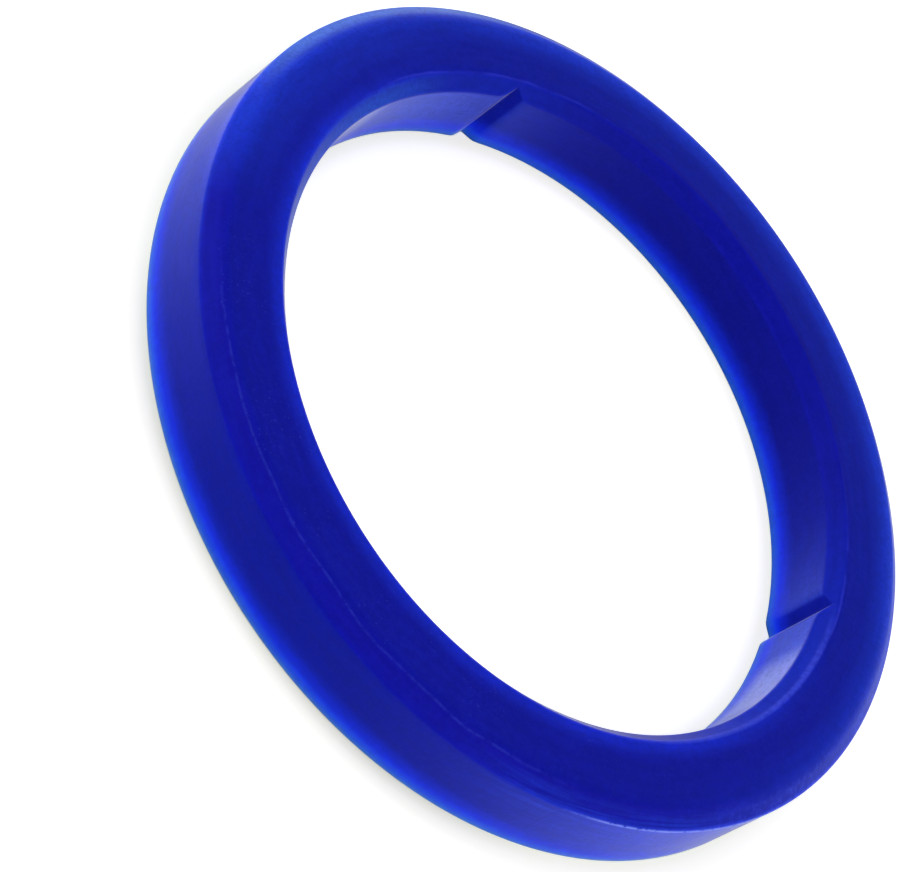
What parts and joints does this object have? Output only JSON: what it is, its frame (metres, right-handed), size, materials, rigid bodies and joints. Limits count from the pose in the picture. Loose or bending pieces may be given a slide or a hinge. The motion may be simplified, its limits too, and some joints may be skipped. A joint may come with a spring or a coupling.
{
  "type": "group head gasket",
  "caption": "Silicone seal ring for an espresso machine's brewing group, with a bevelled front face and shallow V grooves along its bore.",
  "frame": {"origin": "centre of the flat rear face, on the ring's axis, at the lowest height", "axes": "+Z along the ring's axis, out of the bevelled front face; +X through one of the bore's grooves"},
  "size_m": [0.073, 0.073, 0.0083],
  "materials": {
    "silicone_rubber": "satin, slightly translucent, deep blue"
  },
  "bodies": {
    "root": {"gasket_ring": "silicone_rubber"}
  },
  "joints": []
}
